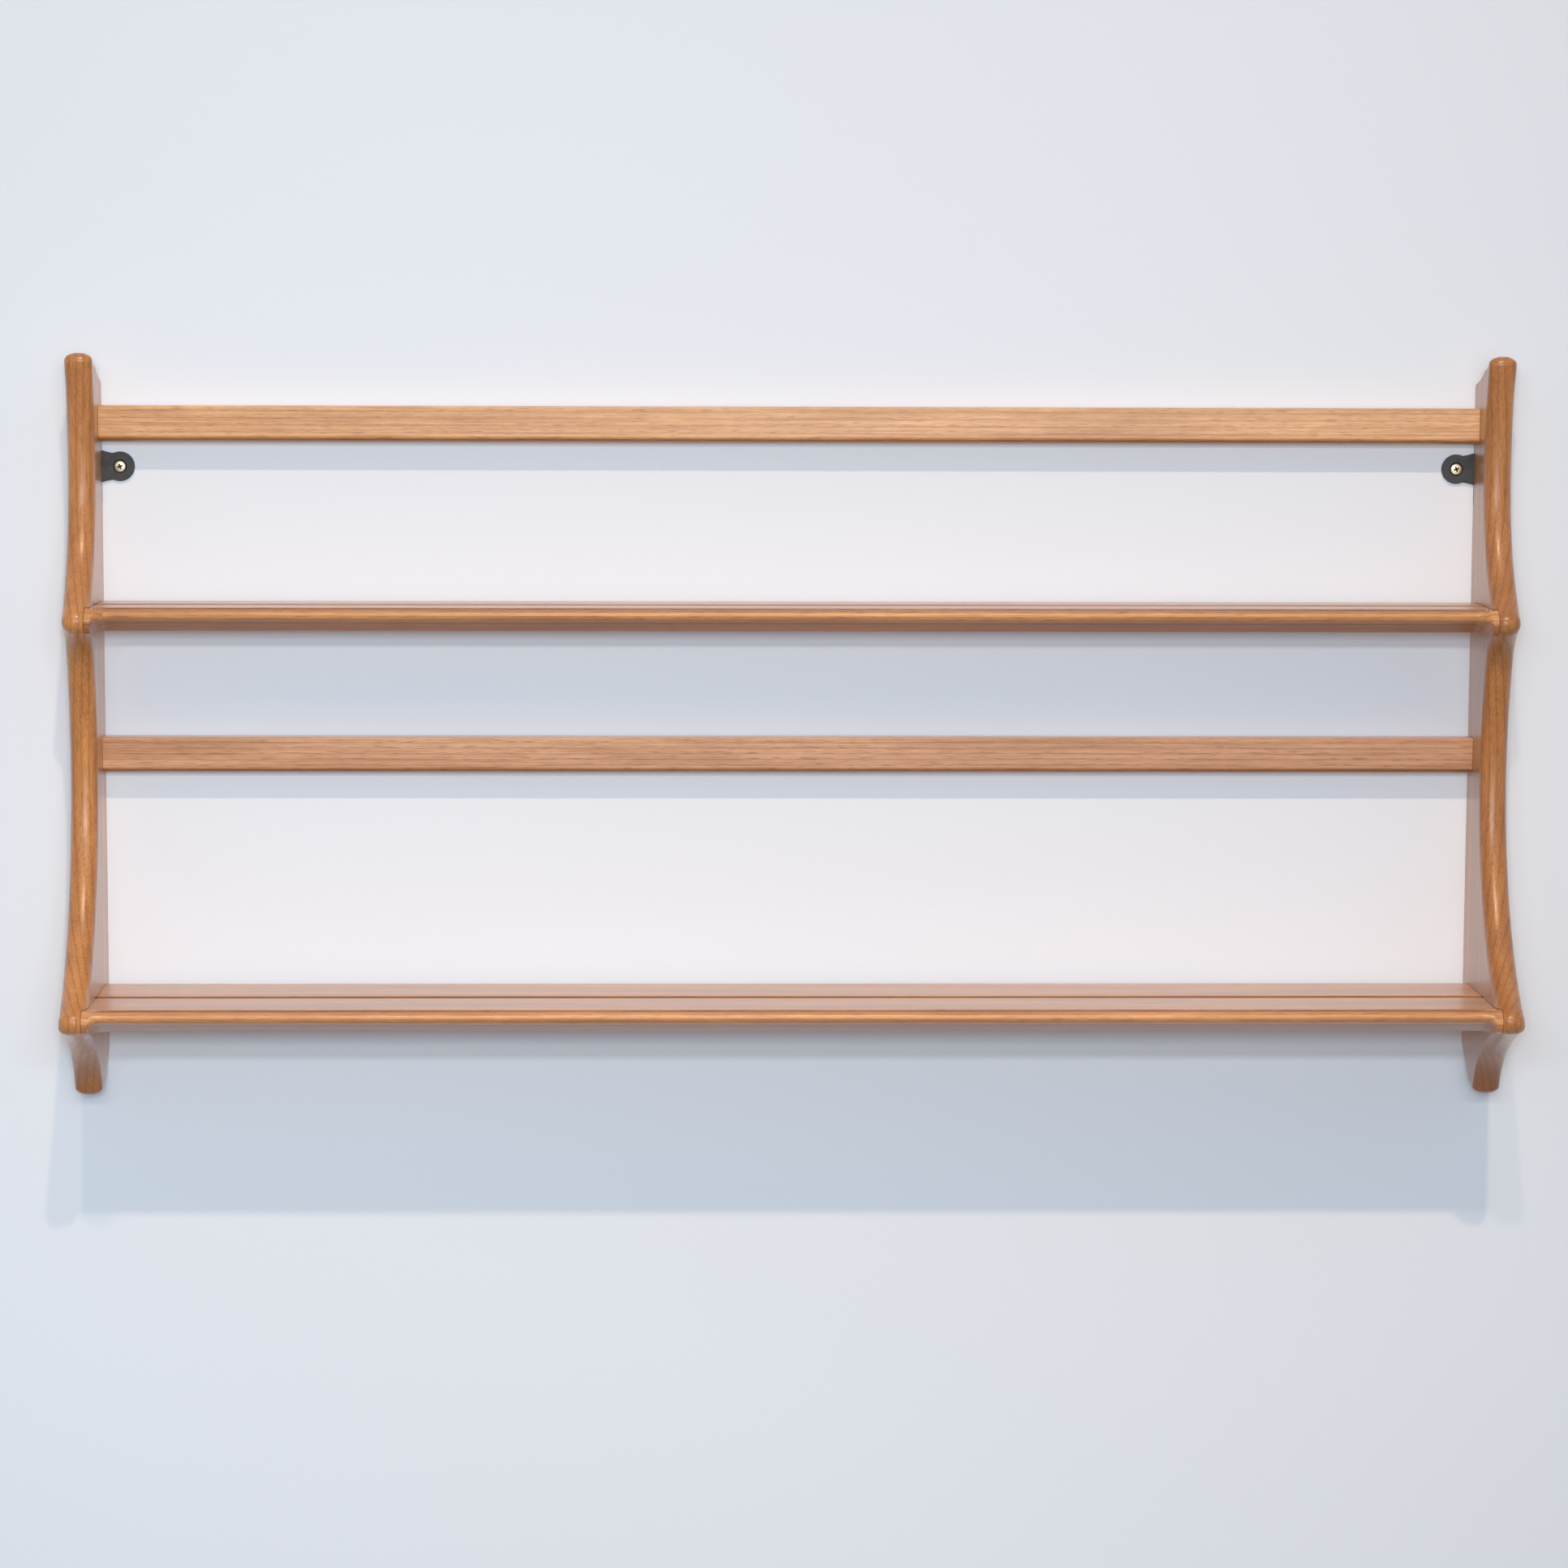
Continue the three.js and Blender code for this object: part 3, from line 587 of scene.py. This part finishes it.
def countersunk_screw(name, head, shank, length, dome, cross, pitch, x, z, seat, facing):
    """A screw whose head stands at depth seat and looks along +Y or -Y, as facing says.

    head and shank are radii, dome is how far the head bulges, and cross is the angle of its recess.
    """
    dome_angles = [math.radians(15 * i) for i in range(1, 6)]
    profile = [(0, dome)] + [(head * math.sin(a) * 0.94, dome * math.cos(a)) for a in dome_angles]
    profile += [(head - 0.08, 0), (head, -0.1), (head, -HEAD_EDGE), (shank, -(head - shank) - HEAD_EDGE),
                (shank, -length * BARE), (shank * CORE, -length * (BARE + 0.02)),
                (shank * CORE, -length + shank * POINT), (0, -length)]
    bm = bmesh.new()
    line = [bm.verts.new(Vector((r, 0, h)) * MM) for r, h in profile]
    edges = [bm.edges.new(pair) for pair in zip(line, line[1:])]
    bmesh.ops.spin(bm, geom=line + edges, cent=(0, 0, 0), axis=(0, 0, 1), dvec=(0, 0, 0), angle=math.tau,
                   steps=40, use_merge=True)
    bmesh.ops.remove_doubles(bm, verts=bm.verts, dist=1e-6)
    bmesh.ops.recalc_face_normals(bm, faces=bm.faces)
    screw = add_piece(bm, name)
    slots = []
    for turn in (0, 90):
        bm = bmesh.new()
        bmesh.ops.create_cone(bm, cap_ends=True, segments=4, radius1=head * CROSS_FOOT * MM,
                              radius2=head * CROSS_MOUTH * MM, depth=head * CROSS_DEEP * MM)
        bmesh.ops.rotate(bm, matrix=Matrix.Rotation(math.radians(45), 3, "Z"), verts=bm.verts)
        bmesh.ops.scale(bm, vec=(1.1, 0.36, 1), verts=bm.verts)
        bmesh.ops.rotate(bm, matrix=Matrix.Rotation(math.radians(turn), 3, "Z"), verts=bm.verts)
        bmesh.ops.translate(bm, vec=(0, 0, (dome - head * 0.125) * MM), verts=bm.verts)
        slots.append(bm)
    cut_out(screw, slots)
    ridge = bmesh.new()
    start = Vector((shank * 0.74, 0, -length * 0.32)) * MM
    half_tooth = pitch * 0.28
    tooth = [ridge.verts.new(start + Vector(p) * MM) for p in
             ((0, 0, half_tooth), (shank * 0.3, 0, 0), (0, 0, -half_tooth))]
    ridge.faces.new(tooth)
    turns = int((length * 0.68 - shank * 2.4) / pitch)
    bmesh.ops.spin(ridge, geom=ridge.faces[:] + ridge.edges[:] + ridge.verts[:], cent=(0, 0, 0),
                   axis=(0, 0, 1), dvec=(0, 0, -pitch * MM / THREAD_STEPS), angle=math.tau * turns,
                   steps=THREAD_STEPS * turns, use_merge=False)
    bmesh.ops.recalc_face_normals(ridge, faces=ridge.faces)
    thread = add_piece(ridge, "thread")
    bm = bmesh.new()
    bm.from_mesh(screw.data)
    bm.from_mesh(thread.data)
    bpy.data.meshes.remove(thread.data)
    turn = Matrix.Rotation(math.radians(cross), 3, "Z")
    lie = Matrix.Rotation(math.radians(90 if facing < 0 else -90), 3, "X")
    bmesh.ops.rotate(bm, matrix=lie @ turn, verts=bm.verts)
    bmesh.ops.translate(bm, vec=rack_point(x, seat, z), verts=bm.verts)
    bm.to_mesh(screw.data)
    bm.free()
    shade(screw, 35)
    return screw


WALL_SCREW, WALL_SCREW_SEAT = 2, 1.9  # its shank's radius, and the depth that its head's rim sits at
yellow_plate = (0.80, 0.74, 0.52), (0.88, 0.84, 0.66), 0.9, 0.36
plated_steel = steel("yellow passivated steel", *yellow_plate)
# Painted shade: the wall screws' cross recess is coloured near black below the head's face.
recess_shaded_steel = steel("yellow passivated steel with painted shade in the cross", *yellow_plate, WALL_SCREW_SEAT + 0.1)
for hand, side in (("left", -1), ("right", 1)):
    screw = countersunk_screw(f"{hand}_long_screw", head=4, shank=WALL_SCREW, length=30, dome=0.7, cross=20,
                              pitch=1.8, x=side * SCREW_X, z=-RAIL_LINE, seat=WALL_SCREW_SEAT, facing=-1)
    coat(screw, recess_shaded_steel)
    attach(screw, "root")
    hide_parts(f"{hand}_wall_screw")
    for end, rise in (("top", PLATE_SCREW_RISE), ("bottom", -PLATE_SCREW_RISE)):
        screw = countersunk_screw(f"{hand}_short_screw_{end}", head=3.5, shank=PLATE_SCREW, length=18,
                                  dome=0.01, cross=40 + 25 * rise, pitch=1.5,
                                  x=side * (INNER_FACE + PLATE_SCREW_IN), z=rise - RAIL_LINE, seat=0.05,
                                  facing=1)
        coat(screw, plated_steel)
        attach(screw, "root")
        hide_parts(f"{hand}_plate_screw_{end}")

# ---- Dowels ---------------------------------------------------------------------------------------
# Fluted beech dowels, glued blind into the ends of the shelves and rails and into the panels.
# None of them shows once the rack is together.
beech = bpy.data.materials.new("beech")
beech.use_nodes = True
dowel_surface = beech.node_tree.nodes["Principled BSDF"]
beech_place = add_node(beech, "ShaderNodeMapping")
fixed(beech_place, Scale=(60, 900, 900))
join(beech, add_node(beech, "ShaderNodeTexCoord").outputs["Object"], beech_place.inputs[0])
beech_fleck = add_node(beech, "ShaderNodeTexNoise")
fixed(beech_fleck, Scale=1.0, Detail=3.0)
join(beech, beech_place.outputs[0], beech_fleck.inputs["Vector"])
join(beech, ramp(beech, beech_fleck.outputs["Fac"], [(0.3, (0.46, 0.27, 0.13)), (0.7, (0.68, 0.47, 0.27))]),
     dowel_surface.inputs["Base Color"])
join(beech, ramp(beech, beech_fleck.outputs["Fac"], [(0.3, 0.7), (0.7, 0.55)]),
     dowel_surface.inputs["Roughness"])
for node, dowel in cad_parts.items():
    if "dowel" in node:
        for slot in dowel.material_slots:
            slot.material = beech

# ---- Shelves --------------------------------------------------------------------------------------
# Each shelf is an elm board with a coved plate groove near its front. Its nose is moulded with a
# quirk, a round bead and a bevel beneath, and runs out to a full square end that is housed in the
# panel and trimmed to the panel's rounded front.
GROOVE_HALF, GROOVE_DEPTH, GROOVE_LIP = 4.2, 3, 0.8
QUIRK_BEHIND, QUIRK_DROP = 7.5, 1.2
BEAD, BEAD_STEPS = 3.7, 16
BEVEL_SETBACK = 15.5                  # how far the bevel runs back under the bead
RUN_OUT = 10.5                        # the moulding ends over this length
SHELF_DOWEL_BORE = 19.3
SHELF_EASING = 1


def turned(centre, radius, start, end, steps):
    """Points of an arc on a board's section."""
    angles = [math.radians(start + (end - start) * i / steps) for i in range(steps + 1)]
    return [(centre[0] + radius * math.cos(a), centre[1] + radius * math.sin(a)) for a in angles]


def plate_groove(centre):
    """The coved groove that plates stand in, with softened lips."""
    radius = (GROOVE_HALF ** 2 + GROOVE_DEPTH ** 2) / (2 * GROOVE_DEPTH)
    span = math.degrees(math.asin(GROOVE_HALF / radius))
    cove = turned((centre, radius - GROOVE_DEPTH), radius, -90 - span, -90 + span, 16)
    lips = [(GROOVE_LIP, 0), (GROOVE_LIP * 0.6, -0.06), (GROOVE_LIP * 0.2, -GROOVE_LIP * 0.3)]
    rear = [(cove[0][0] - x, z) for x, z in lips]
    fore = [(cove[-1][0] + x, z) for x, z in reversed(lips)]
    return rear + cove[1:-1] + fore


def moulded_nose(nose):
    """A shelf's front from its quirk over its bead to the end of the bevel beneath."""
    quirk, bead = nose - QUIRK_BEHIND, nose - BEAD
    points = [(quirk - 0.5, 0), (quirk, -0.25), (quirk, -QUIRK_DROP)]
    points += turned((bead, -QUIRK_DROP - BEAD), BEAD, 90, -78, BEAD_STEPS)
    bevel_top, bevel_end = -QUIRK_DROP - 2 * BEAD, bead - BEVEL_SETBACK
    points += [(bead - 0.6, bevel_top - 0.12), (bevel_end + 0.5, 0.25 - SHELF), (bevel_end - 0.6, -SHELF)]
    return points


def square_nose(nose, top, count):
    """The housed end's nose, which follows the panel's rounded front as it is HOUSING mm in."""
    line = front_line(HOUSING)
    quirk = nose - QUIRK_BEHIND
    points = [(quirk - 0.5, 0), (quirk, 0), (quirk + 0.6, 0)]
    for i in range(count - 3):
        height = top - SHELF * i / (count - 4)
        pairs = zip(line, line[1:])
        (d0, h0), (d1, h1) = next(pair for pair in pairs if pair[1][1] <= height < pair[0][1])
        points.append((d0 + (d1 - d0) * (height - h0) / (h1 - h0), height - top))
    return points


def end_bores(places, outside, inside, radius):
    """Bores for dowels in both ends of a board."""
    return [bore(rack_point(side * outside, *place), rack_point(side * inside, *place), radius)
            for side in (-1, 1) for place in places]


def shelf_board(name, top, nose, groove, dowels):
    """A shelf. Its section is drawn at many stations that grow from square to moulded at both ends."""
    heel = turned((SHELF_BACK + SHELF_EASING, SHELF_EASING - SHELF), SHELF_EASING, 270, 180, 4)
    rear = turned((SHELF_BACK + SHELF_EASING, -SHELF_EASING), SHELF_EASING, 180, 90, 4)
    moulded = moulded_nose(nose)
    square = square_nose(nose, top, len(moulded))
    body = rear + plate_groove(groove)
    end, shoulder = INNER_FACE + HOUSING, INNER_FACE - 0.5
    stations = [(end - SEAM, 0, 0)]
    for share in (0, 0.03, 0.07, 0.12, 0.18, 0.25, 0.33, 0.42, 0.52, 0.63, 0.75, 0.88, 1):
        stations.append((shoulder - RUN_OUT * share, math.sin(math.pi / 2 * share), 1 - (1 - share) ** 7))
    stations = [(-x, *shares) for x, *shares in stations] + stations[::-1]

    def section(x, across, drop):
        fore = [(a[0] + (b[0] - a[0]) * across, a[1] + (b[1] - a[1]) * drop)
                for a, b in zip(square, moulded)]
        return [rack_point(x, depth, top + height) for depth, height in body + fore + heel]

    bm = bmesh.new()
    draw_along(bm, [section(*station) for station in stations])
    shelf = add_piece(bm, name)
    cut_out(shelf, end_bores([(depth, top - SHELF_DOWEL_DROP) for depth in dowels], end + OVERSHOOT,
                             end - SHELF_DOWEL_BORE, SHELF_DOWEL + SEAM))
    shade(shelf, 40)
    return shelf


def paint_shade_in_hollows(wood, top, hollows):
    """Darkens a shelf's wood in its plate groove and quirk, as painted shade in these hollows.

    Each hollow is given as the depth of its middle and half its width.
    """
    below_the_top = lower_than(wood, top - 0.2, top - 0.6)
    for middle, half_width in hollows:
        within = add_node(wood, "ShaderNodeMath", operation="COMPARE")
        within.inputs[1].default_value = -middle * MM
        within.inputs[2].default_value = half_width * MM
        join(wood, axes_of(wood)["Y"], within.inputs[0])
        share = add_node(wood, "ShaderNodeMath", operation="MULTIPLY")
        join(wood, within.outputs[0], share.inputs[0])
        join(wood, below_the_top, share.inputs[1])
        darken(wood, share.outputs[0], (0.42, 0.34, 0.26))


upper_elm = elm("upper shelf elm", "X", (0, 60, 190), 4, (0.54, 0.235, 0.075), 0.74)
lower_elm = elm("lower shelf elm", "X", (0, -70, -330), 6, (0.62, 0.275, 0.095), 0.74)
for name, top, nose, groove, dowels, wood in (
        ("upper", UPPER_TOP, 86, 49, UPPER_DOWELS, upper_elm),
        ("lower", LOWER_TOP, 136.5, 76, LOWER_DOWELS, lower_elm)):
    shelf = shelf_board(f"{name}_shelf_board", top, nose, groove, dowels)
    # Painted shade in the plate groove and the quirk.
    paint_shade_in_hollows(wood, top, ((groove, GROOVE_HALF + GROOVE_LIP), (nose - QUIRK_BEHIND + 0.3, 0.5)))
    # Painted shade: the bevel under the bead is darkened.
    bead_bottom = top - QUIRK_DROP - 2 * BEAD
    darken(wood, lower_than(wood, bead_bottom + 1.2, bead_bottom - 0.8), (0.74, 0.6, 0.44))
    coat(shelf, wood)
    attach(shelf, "root")
    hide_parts(f"{name}_shelf")

# ---- Rails ----------------------------------------------------------------------------------------
# Two straight elm rails tie the panels together and keep the plates off the wall. The lower front
# edge is rounded over, and the other edges are eased. Each end is doweled to a panel.
RAIL_GAP = 0.1                        # between a rail's end and the panel
RAIL_ROUNDING, RAIL_EASING = 4.2, 1
RAIL_DOWEL_BORE = 15.8


def rail_bar(name, top, rail_front):
    rail_back = rail_front - RAIL_DEPTH
    end = INNER_FACE - RAIL_GAP
    bm = block(rack_point(-end, rail_back, top - RAIL), rack_point(end, rail_front, top))
    long_edges = [e for e in bm.edges if abs(e.verts[0].co.x - e.verts[1].co.x) > 0.5]
    low_front = min(long_edges, key=lambda e: e.verts[0].co.y + e.verts[0].co.z)
    others = [e for e in long_edges if e is not low_front]
    bmesh.ops.bevel(bm, geom=[low_front], offset=RAIL_ROUNDING * MM, offset_type="OFFSET", affect="EDGES",
                    segments=10, profile=0.5, material=-1)
    others = [e for e in others if e.is_valid]
    bmesh.ops.bevel(bm, geom=others, offset=RAIL_EASING * MM, offset_type="OFFSET", affect="EDGES",
                    segments=4, profile=0.5, material=-1)
    bmesh.ops.recalc_face_normals(bm, faces=bm.faces)
    rail = add_piece(bm, name)
    places = [(depth, height) for depth, height in rail_bores if top - RAIL < height < top]
    cut_out(rail, end_bores(places, INNER_FACE + OVERSHOOT, INNER_FACE - RAIL_DOWEL_BORE,
                            RAIL_DOWEL + SEAM))
    shade(rail)
    return rail


upper_rail_elm = elm("upper rail elm", "X", (0, 150, -120), 3.2, (0.68, 0.36, 0.16), figure=2.0)
lower_rail_elm = elm("lower rail elm", "X", (0, 130, -420), 3.2, (0.55, 0.285, 0.15), figure=2.0)
for name, top, rail_front, wood in (("upper", UPPER_RAIL_TOP, UPPER_RAIL_FRONT, upper_rail_elm),
                                    ("lower", LOWER_RAIL_TOP, LOWER_RAIL_FRONT, lower_rail_elm)):
    rail = rail_bar(f"{name}_plate_rail", top, rail_front)
    # Painted shade: the rail's lower rounding is darkened.
    darken(wood, lower_than(wood, top - RAIL + 4, top - RAIL + 1.5), (0.55, 0.43, 0.32))
    coat(rail, wood)
    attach(rail, "root")
    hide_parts(f"{name}_rail")

# ---- Wall and floor -------------------------------------------------------------------------------
# The rack hangs on a plain pale wall, and a pale floor lies well below it. From behind, the wall is
# seen through, and light passes it that way, so the back of the rack can be looked at.
WALL_HALF, WALL_MIDDLE = 3, (0, 0.0003, 0.9)             # these are in metres
FLOOR_HALF, FLOOR_MIDDLE = 1.3, (0, -1.3, -1.3)
FLOOR_LONGER = 2.3


def where_any(material, first, *others):
    """1 where any of these is 1."""
    for other in others:
        either = add_node(material, "ShaderNodeMath", operation="MAXIMUM")
        join(material, first, either.inputs[0])
        join(material, other, either.inputs[1])
        first = either.outputs[0]
    return first


def paint(name, colour):
    """Matt paint that light and the camera pass from behind."""
    material = bpy.data.materials.new(name)
    material.use_nodes = True
    surface = material.node_tree.nodes["Principled BSDF"]
    fixed(surface, Base_Color=(*colour, 1), Roughness=0.9)
    surface.inputs["Specular IOR Level"].default_value = 0.1
    path = add_node(material, "ShaderNodeLightPath").outputs
    behind = add_node(material, "ShaderNodeNewGeometry").outputs["Backfacing"]
    see_through = add_node(material, "ShaderNodeMixShader")
    join(material, where_any(material, behind, path["Is Diffuse Ray"], path["Is Shadow Ray"]),
         see_through.inputs[0])
    join(material, surface.outputs[0], see_through.inputs[1])
    join(material, add_node(material, "ShaderNodeBsdfTransparent").outputs[0], see_through.inputs[2])
    output = material.node_tree.nodes["Material Output"]
    join(material, see_through.outputs[0], output.inputs["Surface"])
    return material


bm = bmesh.new()
bmesh.ops.create_grid(bm, x_segments=1, y_segments=1, size=WALL_HALF)
bmesh.ops.rotate(bm, matrix=Matrix.Rotation(math.radians(90), 3, "X"), verts=bm.verts)
bmesh.ops.translate(bm, vec=WALL_MIDDLE, verts=bm.verts)
wall = add_piece(bm, "wall")
wall.data.materials.append(paint("wall paint", (0.785, 0.815, 0.87)))

bm = bmesh.new()
bmesh.ops.create_grid(bm, x_segments=1, y_segments=1, size=FLOOR_HALF)
bmesh.ops.scale(bm, vec=(FLOOR_LONGER, 1, 1), verts=bm.verts)
bmesh.ops.translate(bm, vec=FLOOR_MIDDLE, verts=bm.verts)
floor = add_piece(bm, "floor")
floor.data.materials.append(paint("floor paint", (0.78, 0.78, 0.77)))

# ---- Light ----------------------------------------------------------------------------------------
# A cool lamp beside the camera and a strip above it, two small warm lamps high up whose shadows end
# crisply on the wall, two soft panels behind the camera, and a little light from the room. Seen
# directly, in a gloss or through glass, the room is plain and pale.
world = bpy.data.worlds.new("room")
scene.world = world
world.use_nodes = True
sky = world.node_tree.nodes["Background"]
direction = add_node(world, "ShaderNodeSeparateXYZ")
join(world, add_node(world, "ShaderNodeTexCoord").outputs["Generated"], direction.inputs[0])
room = ramp(world, between(world, direction.outputs["Z"], -1.0, 1.0), [
    (0.3, (0.04, 0.04, 0.045)), (0.5, (0.14, 0.155, 0.18)), (0.65, (0.3, 0.33, 0.38))])
behind_wall = add_node(world, "ShaderNodeMath", operation="GREATER_THAN")
behind_wall.inputs[1].default_value = 0
join(world, direction.outputs["Y"], behind_wall.inputs[0])
light = blend(world, "MIX", behind_wall.outputs[0], room, (0.76, 0.775, 0.81))
ray = add_node(world, "ShaderNodeLightPath").outputs
plain = where_any(world, ray["Is Camera Ray"], ray["Is Glossy Ray"], ray["Is Transmission Ray"])
join(world, blend(world, "MIX", plain, light, (0.80, 0.81, 0.83)), sky.inputs["Color"])
sky.inputs["Strength"].default_value = 1.0


def lamp(name, size_x, size_y, power, at, towards, colour=(1, 1, 1), spread=180, shines=True):
    """A soft lamp, in metres and watts. One that doesn't shine leaves no highlight."""
    light = bpy.data.lights.new(name, "AREA")
    light.shape = "RECTANGLE"
    light.size, light.size_y = size_x, size_y
    light.energy = power
    light.color = colour
    light.spread = math.radians(spread)
    holder = bpy.data.objects.new(name, light)
    scene.collection.objects.link(holder)
    look = (Vector(towards) - Vector(at)).to_track_quat("-Z", "Y")
    holder.matrix_world = Matrix.LocRotScale(Vector(at), look, None)
    holder.visible_glossy = shines
    holder.visible_camera = False


KEY, KEY_SPREAD = 0.12, 60
lamp("right key", KEY, KEY, 11, (0.42, -4.5, 4.66), (0.3, 0, -0.9), (1, 0.75, 0.5), KEY_SPREAD)
lamp("left key", KEY, KEY, 6.2, (-0.42, -4.5, 4.66), (0, 0, -0.9), (1, 0.76, 0.57), KEY_SPREAD)
lamp("fill beside the camera", 0.5, 0.4, 12.2, (-0.15, -3.5, 0.3), (-0.5, 0, -0.55), (0.79, 0.92, 1),
     spread=90, shines=False)
lamp("strip above the camera", 1.6, 0.12, 23, (-0.1, -3.2, 0.64), (0, 0, -0.2), (0.94, 0.97, 1))
lamp("soft panel", 1.5, 0.8, 20, (0.42, -5.0, 0.05), (0.42, 0, 0.05))
lamp("low panel", 1.5, 0.45, 1.5, (-0.35, -5.0, -0.72), (-0.35, 0, -0.72))
